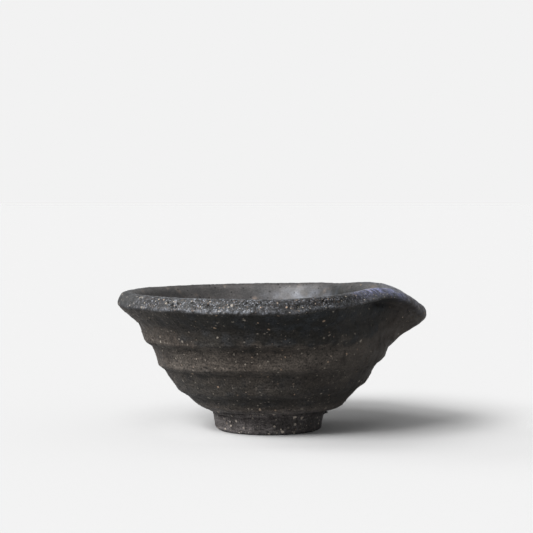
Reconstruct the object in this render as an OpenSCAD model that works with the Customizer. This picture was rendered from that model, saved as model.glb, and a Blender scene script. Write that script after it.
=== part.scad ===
// Katakuchi: a lipped pouring bowl for sake, in dark grogged stoneware.
// It is built up as a potter builds one: a floor disc, three wall courses, a flared collar, a rim band
// and a spout pulled out of the lip, all luted together, over a foot ring luted under the floor.
// Millimetres. +Z is up, the table is z = 0, the bowl's axis is x = y = 0, and the spout points along +X.

/* [Foot ring] */
// Height of the foot ring
foot_h = 7; // [6.2:0.2:12]
// Outer radius of the foot ring where it meets the bowl
foot_top_r = 23.4; // [21:0.2:28]
// Outer radius of the foot ring above its standing edge
foot_base_r = 21.9; // [20:0.2:26]
// Thickness of the foot ring's wall
foot_wall = 5.6; // [4:0.2:8]
// Rounding of the foot ring's standing edges
foot_round = 1.2; // [0.4:0.1:1.8]
// Depth of the hollow inside the foot ring
recess_h = 5; // [4.4:0.1:6]

/* [Floor disc] */
// Height of the floor disc's outer edge, from the foot ring up to the first seam
disc_edge_h = 5.8; // [4:0.2:8]
// How far the rounded edge of the floor disc stands out
disc_ridge_h = 0.8; // [0:0.1:2]
// Thickness of the floor at its middle
floor_t = 5.5; // [4:0.1:7]
// How flat the inside is across the floor, as the power of its curve
floor_curve = 3; // [2.6:0.1:4]

/* [Wall courses] */
// Height of each of the three wall courses
course_h = 10.8; // [9:0.2:14]
// Outer radius of the wall at the neck, under the flared collar
neck_r = 54.5; // [52:0.1:58]
// Thickness of the wall at the neck
wall_t = 4.2; // [3:0.1:6]
// How full the wall is, as the power of its curve
wall_curve = 0.65; // [0.5:0.01:0.75]
// How far the throwing ridge of each course stands out
ridge_h = 1.5; // [0.4:0.1:2.5]
// How much higher a bevelled seam lies inside than outside
seam_rise = 2; // [0.5:0.1:3]

/* [Collar and rim] */
// Height of the flared collar
collar_h = 7.2; // [5:0.2:12]
// Height of the rim band, from its lower edge to its crest
rim_h = 5.6; // [4.5:0.1:8]
// Radius of the rim band's lower edge, the widest part of the bowl
rim_r = 63; // [61:0.2:70]
// How far the rim's crest lies inside its lower edge
rim_lean = 4.4; // [3:0.1:6]
// Thickness of the lip, from the mouth to the rim band's lower edge
lip_t = 7; // [6:0.1:9]
// Depth of the rounding on the inside of the rim
rim_round = 3; // [2:0.1:4]
// How square the outside of the rim is: 2 is an ellipse
rim_square = 2.4; // [2:0.1:3.5]

/* [Spout] */
// Half of the angle that the spout piece takes up
spout_half_angle = 26; // [22:1:34]
// How far the lip is pinched in on both sides of the spout
pinch_in = 11.8; // [6:0.2:13]
// How far the lip rises where it is pinched
pinch_up = 4; // [0:0.2:6]
// Angle from the spout to where the lip is highest
rise_angle = 28; // [22:1:45]
// Angle over which that rise dies away
rise_spread = 28; // [18:1:32]
// Angle from the spout to the middle of each pinch
pinch_angle = 35; // [30:1:45]
// Angle over which a pinch dies away
pinch_spread = 25; // [18:1:30]
// Share of the rim's section that is squeezed out where it is pinched
pinch_thin = 0.28; // [0:0.02:0.4]
// How far the spout's tip is pulled out
tip_out = 3.9; // [2:0.1:10]
// How far the spout's tip is pulled down
tip_drop = 6.8; // [2:0.2:8]
// Share of the lip's thickness that is drawn out at the tip
tip_thin = 0.3; // [0:0.02:0.5]
// Angle over which the tip dies away
tip_spread = 12; // [8:1:18]
// Angle over which the hollow under the collar is filled out by the spout
fill_spread = 20; // [12:1:26]

/* [Hidden] */

// Heights, stacked from the table up
disc_z = foot_h + disc_edge_h;
pull_z = disc_z + 2 * course_h;
neck_z = disc_z + 3 * course_h;
edge_z = neck_z + collar_h;
bowl_h = edge_z + rim_h;
floor_z = recess_h + floor_t;

// Radii that follow from the sizes above
foot_in_r = foot_base_r - foot_wall;
neck_in_r = neck_r - wall_t;
crest_r = rim_r - rim_lean;
mouth_r = rim_r - lip_t;
lip_in_z = bowl_h - rim_round;

// Points along the curves, and angles between the sections of the pulled pieces
ROUND_FN = 120;
EDGE_STEPS = 6;
RIM_STEPS = 6;
COURSE_STEPS = 10;
INSIDE_STEPS = 5;
FLOOR_STEPS = 12;
SPOUT_SECTIONS = 26;
RING_SECTIONS = 78;

// Colours of the fired clay
RIM_GREY = [0.27, 0.28, 0.29];
SMOKE_BLACK = [0.13, 0.13, 0.13];
CLAY_BROWN = [0.19, 0.17, 0.15];
FOOT_BROWN = [0.22, 0.20, 0.19];

function ramp(x) = min(1, max(0, x));
function bell(a, spread) = exp(-pow(a / spread, 2));
function steps(from, to, n) = [for (i = [0 : n]) from + (to - from) * i / n];
function after_first(list) = [for (i = [1 : len(list) - 1]) list[i]];

// Outside of the bowl: a full curve from the foot to the neck, with one ridge on each course
function swell(z, from, h) = (1 - cos(360 * (z - from) / h)) / 2;
function bare_r(z) =
    foot_top_r + (neck_r - foot_top_r) * pow(ramp((z - foot_h) / (neck_z - foot_h)), wall_curve);
function collar_r(z) = neck_r + (rim_r - neck_r) * (z - neck_z) / collar_h;
function wall_r(z) =
    z > neck_z ? collar_r(z) :
    z > disc_z ? bare_r(z) + ridge_h * swell(z, disc_z, course_h) :
    bare_r(z) + disc_ridge_h * swell(z, foot_h, disc_edge_h);

// Inside of the bowl: a dish that is flat in the middle and steep at the neck, and then flares to the mouth
function dish_r(z) = neck_in_r * pow(ramp((z - floor_z) / (neck_z - floor_z)), 1 / floor_curve);
function flare_in_r(z) = neck_in_r + (mouth_r - neck_in_r) * (z - neck_z) / (bowl_h - neck_z);
function inner_r(z) = z > neck_z ? flare_in_r(z) : dish_r(z);

// Seams between the courses: bevelled, apart from the level one that the spout springs from
function seam_z(n) = disc_z + n * course_h;
function seam_in_z(n) = seam_z(n) < pull_z ? seam_z(n) + seam_rise : pull_z;

// Rounded outlines, as points
function edge_arc(centre, radius, from, to) =
    [for (t = steps(from, to, EDGE_STEPS)) centre + radius * [cos(t), sin(t)]];
function rim_outside() = [
    for (t = steps(0, 90, RIM_STEPS))
        [crest_r + rim_lean * pow(cos(t), 2 / rim_square), edge_z + rim_h * pow(sin(t), 2 / rim_square)]
];
function rim_inside() = [
    for (t = steps(0, 90, RIM_STEPS))
        [crest_r - (crest_r - inner_r(lip_in_z)) * sin(t), lip_in_z + rim_round * cos(t)]
];

// How the lip is pulled, by the angle from the spout
function from_spout(a) = a > 180 ? a - 360 : a;
function pinch(a) = bell(abs(from_spout(a)) - pinch_angle, pinch_spread);
function rise(a) = bell(abs(from_spout(a)) - rise_angle, rise_spread);
function tip(a) = bell(from_spout(a), tip_spread);
function filled_r(z, a) =
    let (foot_of_pull = wall_r(pull_z), share = (z - pull_z) / (edge_z - pull_z))
    let (straight = foot_of_pull + (rim_r - foot_of_pull) * share, fill = bell(from_spout(a), fill_spread))
    wall_r(z) + (straight - wall_r(z)) * fill;
function pulled(p, a) =
    let (share = ramp((p[1] - pull_z) / (edge_z - pull_z)))
    let (out = tip_out * tip(a) - pinch_in * pinch(a), up = pinch_up * rise(a) - tip_drop * tip(a))
    let (squeeze = pinch_thin * pinch(a), draw = tip_thin * tip(a) * pow(share, 2))
    p + share * [out + (squeeze + draw) * (rim_r - p[0]), up + squeeze * (edge_z - p[1])];

// Outlines of the pulled pieces in [radius, height], at an angle from the spout
function outside_run(from, to, a) = [for (z = steps(from, to, COURSE_STEPS)) [filled_r(z, a), z]];
function inside_run(from, to) = [for (z = steps(from, to, INSIDE_STEPS)) [inner_r(z), z]];
function lip_run() = concat(rim_outside(), after_first(rim_inside()));
function pulled_outline(points, a) = [for (p = points) pulled(p, a)];

// A closed outline carried round the bowl through the given angles. The outline is a function of the angle,
// runs outwards along its lower side, and has the same number of points everywhere.
// Pieces that share a seam split its four-sided faces along the same diagonal, one of them with cross_split.
module carried_round(outline, angles, cross_split = false) {
    sections = [for (a = angles) outline(a)];
    last = len(sections) - 1;
    m = len(sections[0]);
    points = [
        for (i = [0 : last]) for (p = sections[i])
            [p[0] * cos(angles[i]), p[0] * sin(angles[i]), p[1]]
    ];
    sides = [
        for (i = [0 : last - 1]) for (j = [0 : m - 1])
            let (low = i * m + j, high = i * m + (j + 1) % m, next_low = low + m, next_high = high + m)
            each cross_split
                ? [[low, high, next_low], [high, next_high, next_low]]
                : [[low, high, next_high], [low, next_high, next_low]]
    ];
    first_cap = [for (j = [m - 1 : -1 : 0]) j];
    last_cap = [for (j = [0 : m - 1]) last * m + j];
    polyhedron(points, concat([first_cap], sides, [last_cap]));
}

ring_angles = steps(spout_half_angle, 360 - spout_half_angle, RING_SECTIONS);
spout_angles = steps(-spout_half_angle, spout_half_angle, SPOUT_SECTIONS);

module foot_ring() {
    outer_foot = [foot_base_r - foot_round, foot_round];
    inner_foot = [foot_in_r + foot_round, foot_round];
    color(FOOT_BROWN)
    rotate_extrude($fn = ROUND_FN)
    polygon(concat(
        edge_arc(inner_foot, foot_round, 180, 270),
        edge_arc(outer_foot, foot_round, 270, 360),
        [[foot_top_r, foot_h], [foot_in_r, foot_h]]
    ));
}

// The floor has a shallow spigot that sits inside the foot ring.
module floor_disc() {
    outside = [for (z = steps(foot_h, disc_z, COURSE_STEPS)) [wall_r(z), z]];
    inside = [for (z = steps(seam_in_z(0), floor_z, FLOOR_STEPS)) [inner_r(z), z]];
    color(CLAY_BROWN)
    rotate_extrude($fn = ROUND_FN)
    polygon(concat([[0, recess_h], [foot_in_r, recess_h], [foot_in_r, foot_h]], outside, inside));
}

// One of the two lower wall courses, which the spout doesn't reach
module wall_course(n) {
    outside = [for (z = steps(seam_z(n - 1), seam_z(n), COURSE_STEPS)) [wall_r(z), z]];
    inside = inside_run(seam_in_z(n), seam_in_z(n - 1));
    color(CLAY_BROWN)
    rotate_extrude($fn = ROUND_FN)
    polygon(concat(outside, inside));
}

// The top wall course, open where the spout fits in
module top_wall_course() {
    outline = function (a)
        pulled_outline(concat(outside_run(pull_z, neck_z, a), inside_run(neck_z, pull_z)), a);
    color(CLAY_BROWN)
    carried_round(outline, ring_angles);
}

// The flared collar, open where the spout fits in
module flare_collar() {
    outline = function (a)
        pulled_outline(concat(outside_run(neck_z, edge_z, a), inside_run(edge_z, neck_z)), a);
    color(SMOKE_BLACK)
    carried_round(outline, ring_angles, cross_split = true);
}

// The rim band, open where the spout fits in
module rim_band() {
    outline = function (a) pulled_outline(concat(lip_run(), [[inner_r(edge_z), edge_z]]), a);
    color(RIM_GREY)
    carried_round(outline, ring_angles);
}

// The spout: wall, collar and lip in one piece, set into the gap that the three pieces above leave.
// Its section passes through the same points as theirs, so the sides of the gap meet it all over.
module spout() {
    outline = function (a)
        let (outside = concat(outside_run(pull_z, neck_z, a), after_first(outside_run(neck_z, edge_z, a))))
        let (inside = concat(inside_run(edge_z, neck_z), after_first(inside_run(neck_z, pull_z))))
        pulled_outline(concat(outside, after_first(lip_run()), inside), a);
    color(RIM_GREY)
    carried_round(outline, spout_angles);
}

foot_ring();
floor_disc();
wall_course(1);  // wall_course_1
wall_course(2);  // wall_course_2
top_wall_course();  // wall_course_3
flare_collar();
rim_band();
spout();
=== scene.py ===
"""The looks of a katakuchi, a lipped pouring bowl for sake in dark, grogged, unglazed stoneware.

One skin is worked out for the whole bowl, from the foot up the wall, over the lip and down to the floor.
It carries the throwing ridge, the pull of the spout, the sandy rim, pits and grog. The skin is then cut
at the joints of the CAD pieces, so neighbours share their edges. Sizes are in millimetres until a mesh
is made. Angles are in degrees from the spout, anticlockwise as seen from above.
"""
import math
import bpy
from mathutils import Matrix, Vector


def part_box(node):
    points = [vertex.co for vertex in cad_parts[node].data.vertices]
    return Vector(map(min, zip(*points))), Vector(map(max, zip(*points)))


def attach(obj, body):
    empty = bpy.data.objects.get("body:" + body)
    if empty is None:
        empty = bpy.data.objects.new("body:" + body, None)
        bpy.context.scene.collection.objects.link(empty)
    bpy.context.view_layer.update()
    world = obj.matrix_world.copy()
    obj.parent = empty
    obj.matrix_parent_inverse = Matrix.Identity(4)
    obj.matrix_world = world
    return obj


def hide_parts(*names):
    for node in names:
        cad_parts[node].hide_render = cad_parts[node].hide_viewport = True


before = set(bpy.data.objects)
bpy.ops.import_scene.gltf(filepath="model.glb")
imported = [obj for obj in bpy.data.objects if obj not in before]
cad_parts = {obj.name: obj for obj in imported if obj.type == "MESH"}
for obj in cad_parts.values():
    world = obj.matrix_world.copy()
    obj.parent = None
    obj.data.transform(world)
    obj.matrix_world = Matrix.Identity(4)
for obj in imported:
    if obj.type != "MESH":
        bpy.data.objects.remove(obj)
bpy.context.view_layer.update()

from types import SimpleNamespace

import bpy
import numpy as np

MM = 0.001
SEED = 20

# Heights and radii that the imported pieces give


def box_mm(node):
    low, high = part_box(node)
    return np.array(low) / MM, np.array(high) / MM


FOOT_H = box_mm("foot_ring")[1][2]
FOOT_TOP_R = box_mm("foot_ring")[1][0]
RECESS_H = box_mm("floor_disc")[0][2]
DISC_Z = box_mm("wall_course_1")[0][2]
SEAM_Z = box_mm("wall_course_2")[0][2]
PULL_Z = box_mm("wall_course_2")[1][2]
SEAM_IN_Z = box_mm("wall_course_1")[1][2]
DISC_IN_Z = box_mm("floor_disc")[1][2]
EDGE_Z = box_mm("rim_band")[0][2]
RIM_R = -box_mm("rim_band")[0][0]
NECK_Z = PULL_Z + (PULL_Z - SEAM_Z)

# Sizes of the bowl that no box gives
FLOOR_Z = 10.5
FLOOR_CURVE = 3.0
FOOT_BASE_R = 22.5
FOOT_IN_R = 16.3
FOOT_ROUND = 1.8
FOOT_IN_ROUND = 1.2
FOOT_SIDE_CURVE = 1.2
NECK_R = 54.5
WALL_T = 4.2
WALL_CURVE = 0.65
RIM_H = 5.6
RIM_LEAN = 4.4
RIM_SQUARE = 2.4
RIM_ROUND = 3.0
LIP_T = 7.0
BOWL_H = EDGE_Z + RIM_H
NECK_IN_R = NECK_R - WALL_T
CREST_R = RIM_R - RIM_LEAN
MOUTH_R = RIM_R - LIP_T
LIP_IN_Z = BOWL_H - RIM_ROUND

# A mark is a strength, the place where it is strongest, and a spread.
# A pair is where a share rises from 0 to 1, and two more numbers are where it falls back to 0.
# A ramp is a strength and a pair, or two pairs. A step is the least share and a pair.

# The throwing ridge: it climbs anticlockwise as one spiral
RIDGE_H = 1.6
RIDGE_PITCH = 10.4
RIDGE_START_Z = 0.3
RIDGE_SWAY = 0.75
RIDGE_WAVES = ((0.22, 5, 40), (0.16, 9, 110), (0.12, 16, 200))
RIDGE_UNDERCUT = 0.23
RIDGE_BELLY = 1.4
RIDGE_FADE = (41, 46)
RIDGE_SPOUT_LOSS = (0.5, 0, 45)

# Where the thrown wall is out of round: angle, its spread, height, its spread, and how far out
BULGES = (
    (0, 45, 33, 5, 1.3),
    (0, 45, 21.5, 5, 1.3),
    (0, 40, 30, 3, 0.5),
    (0, 50, 7.9, 0.9, -3),
    (180, 50, 24, 4, 1.1),
    (180, 60, 9.5, 3, -2),
    (180, 60, 47, 3, 0.5),
)

# The heel above the foot, which is trimmed higher at the front, and the ridge round the hip
HEEL = (1, 270, 65)
HEEL_Z = (8.9, 9.7)
HEEL_LEAN = 0.45
HIP_RIDGE = (0.7, 10.6, 1.4)

# The crack between the foot and the heel: it closes and opens along its way
CRACK_DEPTH = 0.45
CRACK_WIDTH = 0.4
CRACK_Z = FOOT_H + 0.2
CRACK_RISE = 2.2
CRACK_OPENING = (-0.45, 0.25)

# The pull of the spout
SPOUT_HALF_ANGLE = 26.0
PINCH = (1, 35, 25)
PINCH_IN = 11.8
PINCH_THIN = 0.28
RISE = (4, 28, 28)
TIP_OUT = 5.2
TIP_DROP = 7.1
TIP_THIN = 0.3
TIP_SPREAD = 12.0
FILL_SPREAD = 20.0
THROAT = (0.85, 0.42, 0.2)

# Lifts of the rim, and of its lower edge on both sides of the beak
RIM_LIFTS = ((0.8, -61, 15), (0.4, 66, 30))
EDGE_LIFT = (0.5, 66, 12)

# The left end of the rim, which is rolled under with no sharp edge
LEFT_END = (1, 184, 30)

# The brow over each side of the beak and the hollow under it
BROW_OUT = 2.8
BROW_ANGLES = (1, 17, 38, 60)
BROW_UNDER = 2.6
SIDEWAYS = (1, 1, 0)
BEAK_HOLLOW = (2, 25, 10)
BEAK_ENDS = (9, 20)
BEAK_CREASE = (0.7, 0, 8)

# Fineness of the skin
TURNS = 900
OUTER_STEPS = (30, 32, 30, 30, 26)
RIM_STEPS = 30
CREST_STEPS = 20
LIP_STEPS = 8
INNER_STEPS = (16, 20, 20, 20, 34)
MELT_TIMES = 60
MELT_RATE = 0.5
ANGLES = np.arange(TURNS) * 360.0 / TURNS
SPOUT_ROWS = round(SPOUT_HALF_ANGLE * TURNS / 360.0)
EVERY_ROW = np.arange(TURNS)
RING_ROWS = np.arange(SPOUT_ROWS, TURNS - SPOUT_ROWS + 1)
BEAK_ROWS = np.arange(-SPOUT_ROWS, SPOUT_ROWS + 1)

# Joints along the outline, in the order of the skin's columns. The crest lies between the two lists.
OUTER_JOINTS = ("foot", "disc", "seam", "pull", "neck", "edge")
INNER_JOINTS = ("edge_in", "neck_in", "pull_in", "seam_in", "disc_in", "floor")

# Pieces cut from the skin alone: node, slot, rows, and the joints that its runs of columns lie between
RING_PIECES = (
    ("wall_course_1", "wall_clay", EVERY_ROW, ("disc", "seam"), ("seam_in", "disc_in")),
    ("wall_course_2", "wall_clay", EVERY_ROW, ("seam", "pull"), ("pull_in", "seam_in")),
    ("wall_course_3", "wall_clay", RING_ROWS, ("pull", "neck"), ("neck_in", "pull_in")),
    ("flare_collar", "wall_clay", RING_ROWS, ("neck", "edge"), ("edge_in", "neck_in")),
    ("rim_band", "rim_clay", RING_ROWS, ("edge", "edge_in")),
    ("spout", "rim_clay", BEAK_ROWS, ("pull", "pull_in")),
)

# Stretches of the outline, like pairs: each place is a joint and some columns past it
LIP = (("crest", 4), ("crest", 12), ("edge_in", 4), ("neck_in", 0))
BEAK_SIDE = (("neck", 4), ("neck", 16), ("edge", 12), ("edge", 24))
LIFTED = (("pull", 0), ("edge", 0), ("edge_in", 0), ("pull_in", 0))
INSIDE = (("crest", -2), ("crest", 10))
RIM = (("edge", -3), ("edge", 2))
BEAK_RIM = (("edge", 8), ("edge", 24))
RINGED = (("neck_in", 10), ("seam_in", 0))
COMBED = (("neck", 0), ("neck", 6))
LIP_SHADE_BAND = (("crest", 2), ("crest", 16), ("edge_in", 4), ("pull_in", -6))
TIP_BAND = (("neck", -2), ("edge", 0))
BEAK_TOP_HIGHLIGHT_BAND = (("edge", -6), ("edge", 12), ("crest", 4), ("crest", 14))

# Lines along the outline: a strength, a joint, some columns past it, and a spread in columns
MELTED_EDGE = (1, "edge", 0, 10)
SWAYING_EDGE = (1, "edge", 0, 7)
BEAD = (1, "edge", 2, 3)
GROOVE = (1, "edge", 10, 5)
HOLLOW = (1, "edge", -8, 5.5)
ROLL = (0.4, "edge", 5, 11)
SHEEN_LINE = (1, "edge_in", 4, 14)
# Pale lines along the crest and the bead: worn clay, and painted highlight where they catch the light
PALE_CREST = (0.6, "crest", -1, 3.5)
PALE_BEAD = (0.9, "edge", 2, 2.2)

# Lumps of smooth noise: their size, or their size on each axis, their height, and their seed's number
SAND_PATCHES = (14, 0.5, 1)
BROAD_LUMPS = (9, 0.20, 2)
SMALL_LUMPS = (3.2, 0.11, 3)
TURNED_LINES = ((11, 11, 0.95), 0.055, 4)
WALL_GRAIN = (1, 0.035, 5)
SAND_LUMPS = (2.2, 0.08, 6)
SAND_GRAIN = (0.85, 0.10, 7)
BEAD_LUMPS = ((6, 6, 20), 0.35, 8)
SMOKE_LUMPS = ((16, 16, 7), 2.4, 12)
FOOT_LUMPS = ((6, 0.16, 13), (2.4, 0.13, 14), (1.1, 0.06, 15))
CHIP_LUMPS = (3, 1, 16)
UNDERSIDE_LUMPS = (2.6, 0.12, 17)
GROOVE_LUMPS = ((9, 9, 20), 0.25, 18)
EDGE_SWAY = ((11, 11, 40), 0.55, 19)
EDGE_WAVER = ((4, 4, 40), 0.25, 20)
SMOKE_FRAY = (4, 1.9, 21)
VIOLET_STREAKS = ((0.9, 3, 1), 1, 22)
PALE_PATCHES = (1.5, 1, 23)
BARE_LUMPS = (2.5, 1, 24)
CRACK_GAPS = ((7, 7, 30), 1, 25)
SHEEN_LUMPS = (4, 1.2, 26)
BURR_LUMPS = (1.6, 0.5, 27)
COMB_LINES = ((0.9, 6, 1), 0.10, 28)
LIP_SHADE_LUMPS = (7, 7, 29)
LIP_SHADE_FRAY = (2.5, 3, 30)

# Dents, or bumps if their depth is negative: how many, their radius, their depth, and their seed's number
WALL_PITS = (260, (0.3, 0.7), (0.12, 0.4), 9)
WALL_GROG = (420, (0.3, 0.6), (-0.22, -0.06), 10)
RIM_PITS = (150, (0.3, 0.55), (0.35, 0.9), 11)
DENT_REACH = 2.2
DENT_FLATNESS = 1.5
STEP_LEAST = 0.05

# Relief that goes with the lumps
INSIDE_SMOOTHED = 0.6
SAND_BASE = 0.85
SAND_LEAST = 0.65
SAND_ANGLES = (25, 60)
BEAD_ANGLES = (20, 45)
BEAD_H = 0.40
GROOVE_DEPTH = 0.30
RING_H = 0.28
RING_PITCH = 7.0
RING_CENTRE = (1.5, 9)

# Smoke on the wall, under the rim and in a tongue down the front; darker low down; and painted shade in the
# crack above the foot
SMOKE_Z = (NECK_Z - 0.8, NECK_Z + 1.6)
SMOKE_CLEAR = (0.85, 192, 39)
TONGUE_RAMP = (0.85, -0.8, 1.8)
TONGUE_Z = 38.0
TONGUE_RISE = 7.0
TONGUE_ANGLES = (215, 245, 318, 350)
LOW_RAMP = (0.6, 11, 14)
LOW_DARKER_UNTIL = (17, 33)
LOW_DARKER_FRAY = 2.0
CRACK_SHADE = 0.9
BEAK_SMOKE_STEP = (0.2, 13, 28)

# Inside: darker on the far side of the spout, and painted shade in a patch under the lip, beyond the painted
# sheen
# Darker inside on the far side of the spout
INSIDE_DARKER_SIDE = (0.42, 22, 32)
LIP_SHADE = (0.95, 51, 12)

# Painted shade that darkens the clay: on the rim away from the beak, but for one stretch where the lamps
# fall, which stays lit; beside the beak on the side that faces away from the lamps; and in the wall's grooves
# under the ridge
RIM_SHADE_RAMP = (0.42, 40, 60)
RIM_LIT_STRETCH = (1, -124, 25)
LEFT_END_SHADE = 0.12
SHADED_SIDE = (0.35, -15, 50)
SHADED_SIDE_STEP = (0.2, 8, 24)
SHADED_SIDE_RIM_ANGLES = (8, 14)
GROOVE_SHADE_RAMP = (0.28, DISC_Z, DISC_Z + 3, *RIDGE_FADE)

# The violet flash on the rim beside the beak, in streaks up it, and the sheen inside, which is a painted
# highlight where the lamps reflect
FLASH_RAMP = (0.9, 0, 9, 36, 60)
FLASH_STEP = (0.35, 12, 25)
FLASH_COLUMNS = ((-1, -6), (24, -12))
FLASH_TIP_ANGLES = (16, 34)
FAR_FLASH = (0.3, 29, 15)
STREAK_STEP = 0.15
STREAK_EDGES = (-0.35, 0.5)
STREAK_BASE = 0.1
STREAK_GAIN = 0.95
PAINTED_SHEEN = (0.75, 73, 15)
SHEEN_BASE = 0.4

# Worn clay, greyer clay low on the heel, painted highlights on the beak's tip and top, and where the grain is
# smoothed away
TIP_HIGHLIGHT = 0.3
TIP = (1, 0, 15)
BEAK_TOP_HIGHLIGHT = (0.8, 0, 20)
PALE_PATCH_EDGES = (-0.5, 0.4)
BARE_Z = (8.5, 13)
TIP_HIGHLIGHT_BARE = 0.55
INSIDE_GRAIN_LOSS = 0.6
SMOOTH_SIDE = (0.7, -22, 36)

# The foot: points of its outline, chips on its standing edge, the burr on its upper edge, and its marks
BORE_POINTS = 12
ROUND_STEPS = 8
STAND_POINTS = 10
SIDE_POINTS = 18
STAND_Z = 0.02
CHIPS = (0.2, 0.5, 0.9)
CHIP_BASE = 0.2
BURR = (1.9, 4, 13)
BURR_R = (FOOT_IN_R + 2, FOOT_BASE_R)
BURR_Z = (FOOT_H - 0.9, FOOT_H - 0.15)
FOOT_SAND = 0.25
# Painted shade on the foot's side away from the lamps
FOOT_SHADED_SIDE = (0.5, -20, 55)
FOOT_WEAR = (0.25, 0.4, 0.5)

# The turned hollow under the floor, the spigot and its seat
HOLLOW_POINTS = 26
SPIGOT_STEPS = 4
SEAT_STEPS = 7
TURNING_H = 0.10
TURNING_PITCH = 3.4
TURNING_CENTRE = (1.5, 4)
HOLLOW_CENTRE = (0, 2)

# Zones of the clay, which the material reads from each mesh. The dim zone is painted shade, and the zones of
# smoke, flash, wear and bare clay also carry painted shade, sheen and highlights
ZONES = ("inside", "rim", "sandy", "smoke", "dim", "violet", "wear", "bare", "grainy")

# Faces that meet at more than this angle show an edge
SHARP_ANGLE = 66.0

# Limits and tables of the working
LENGTH_LEAST = 1e-9
NOISE_TABLE = 256
NOISE_GAIN = 1.6


# Smooth seeded noise


def noise_tables(seed):
    rng = np.random.default_rng(seed)
    slopes = rng.normal(size=(NOISE_TABLE, 3))
    slopes /= np.linalg.norm(slopes, axis=1, keepdims=True)
    return rng.permutation(NOISE_TABLE), slopes


def lump_noise(points, size, seed):
    """Noise from about -1 to 1 at points of any shape (..., 3), with lumps of a given size on each axis."""
    order, slopes = noise_tables(seed)
    scaled = points / np.asarray(size, float)
    cell = np.floor(scaled).astype(int)
    part = scaled - cell
    ease = part ** 3 * (part * (part * 6 - 15) + 10)
    total = np.zeros(points.shape[:-1])
    for corner in np.ndindex(2, 2, 2):
        at = (cell + corner) % NOISE_TABLE
        pick = order[at[..., 0]]
        for axis in (1, 2):
            pick = order[(pick + at[..., axis]) % NOISE_TABLE]
        slope = np.sum(slopes[pick] * (part - corner), axis=-1)
        weight = np.prod(np.where(np.array(corner) == 1, ease, 1 - ease), axis=-1)
        total += weight * slope
    return total * NOISE_GAIN


def lumps(points, *kinds):
    """The sum of one or more kinds of lumps at some points."""
    return sum(height * lump_noise(points, size, SEED + number) for size, height, number in kinds)


def smooth_step(x, low, high):
    t = np.clip((x - low) / (high - low), 0, 1)
    return t * t * (3 - 2 * t)


def bell(x, spread):
    return np.exp(-((x / spread) ** 2))


def within(x, low, full, *fall):
    """A share that rises from 0 to 1 between two ends, and falls back between two more if there are any."""
    share = smooth_step(x, low, full)
    return share * (1 - smooth_step(x, *fall)) if fall else share


def hump(x, mark):
    """How strong a mark is at x."""
    strength, place, spread = mark
    return strength * bell(x - place, spread)


def turned(mark, angle=ANGLES[:, None]):
    """How strong a mark is at an angle, all the way round."""
    strength, place, spread = mark
    return strength * bell(from_spout(angle - place), spread)


def ramp(x, strength, *ends):
    return strength * within(x, *ends)


def step(x, least, *ends):
    return least + (1 - least) * within(x, *ends)


# Outline of the bowl before it is pulled


def from_spout(angle):
    return (angle + 180.0) % 360.0 - 180.0


def spiral(z, angle):
    """How many ridges lie below a height, at an angle. It is a whole number on the ridge itself."""
    sway = RIDGE_SWAY * np.cos(np.radians(angle))
    for size, waves, start in RIDGE_WAVES:
        sway = sway + size * np.sin(np.radians(waves * angle + start))
    return (z - RIDGE_START_Z + sway) / RIDGE_PITCH - angle / 360.0


def ridge(z, angle):
    """From 0 in the grooves to 1 on the spiral ridge: a short undercut below it, then a long full face."""
    below = 1 - spiral(z, angle) % 1.0
    undercut = 0.5 + 0.5 * np.cos(np.pi * below / RIDGE_UNDERCUT)
    face = np.clip((below - RIDGE_UNDERCUT) / (1 - RIDGE_UNDERCUT), 0, 1) ** RIDGE_BELLY
    fade = within(z, FOOT_H, DISC_Z, *RIDGE_FADE)
    return np.where(below < RIDGE_UNDERCUT, undercut, face) * fade


def wall_r(z, angle):
    share = np.clip((z - FOOT_H) / (NECK_Z - FOOT_H), 0, 1)
    plain = FOOT_TOP_R + (NECK_R - FOOT_TOP_R) * share ** WALL_CURVE
    hip = hump(z, HIP_RIDGE)
    flare = (RIM_R - NECK_R) * np.clip((z - NECK_Z) / (EDGE_Z - NECK_Z), 0, 1)
    tall = RIDGE_H * (1 - turned(RIDGE_SPOUT_LOSS, angle))
    r = plain + hip + flare + tall * ridge(z, angle)
    for at, wide, height, high, out in BULGES:
        r = r + out * bell(from_spout(angle - at), wide) * bell(z - height, high)
    trimmed = turned(HEEL, angle) * (1 - smooth_step(z, *HEEL_Z))
    return r * (1 - trimmed) + (FOOT_TOP_R + HEEL_LEAN * (z - FOOT_H)) * trimmed


def filled_r(z, angle):
    """The wall, with the hollow under the collar filled out by the spout."""
    bottom = wall_r(np.full_like(z, PULL_Z), angle)
    share = np.clip((z - PULL_Z) / (EDGE_Z - PULL_Z), 0, 1)
    straight = bottom + (RIM_R - bottom) * share - hump(share, THROAT)
    fill = bell(from_spout(angle), FILL_SPREAD) * (z > PULL_Z)
    return wall_r(z, angle) * (1 - fill) + straight * fill


def dish_z(r):
    return FLOOR_Z + (NECK_Z - FLOOR_Z) * (r / NECK_IN_R) ** FLOOR_CURVE


def inner_r(z):
    dish = NECK_IN_R * np.clip((z - FLOOR_Z) / (NECK_Z - FLOOR_Z), 0, 1) ** (1 / FLOOR_CURVE)
    flare = NECK_IN_R + (MOUTH_R - NECK_IN_R) * (z - NECK_Z) / (BOWL_H - NECK_Z)
    return np.where(z > NECK_Z, flare, dish)


def pulled(r, z, angle):
    """Where a point of the outline goes when the spout is pinched and drawn out of the lip."""
    off = from_spout(angle)
    pinch = hump(np.abs(off), PINCH)
    tip = bell(off, TIP_SPREAD)
    share = np.clip((z - PULL_Z) / (EDGE_Z - PULL_Z), 0, 1)
    squeeze = PINCH_THIN * pinch
    draw = TIP_THIN * tip * share ** 2
    out = TIP_OUT * tip - PINCH_IN * pinch + (squeeze + draw) * (RIM_R - r)
    up = hump(np.abs(off), RISE) - TIP_DROP * tip + squeeze * (EDGE_Z - z)
    return r + share * out, z + share * up


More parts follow.
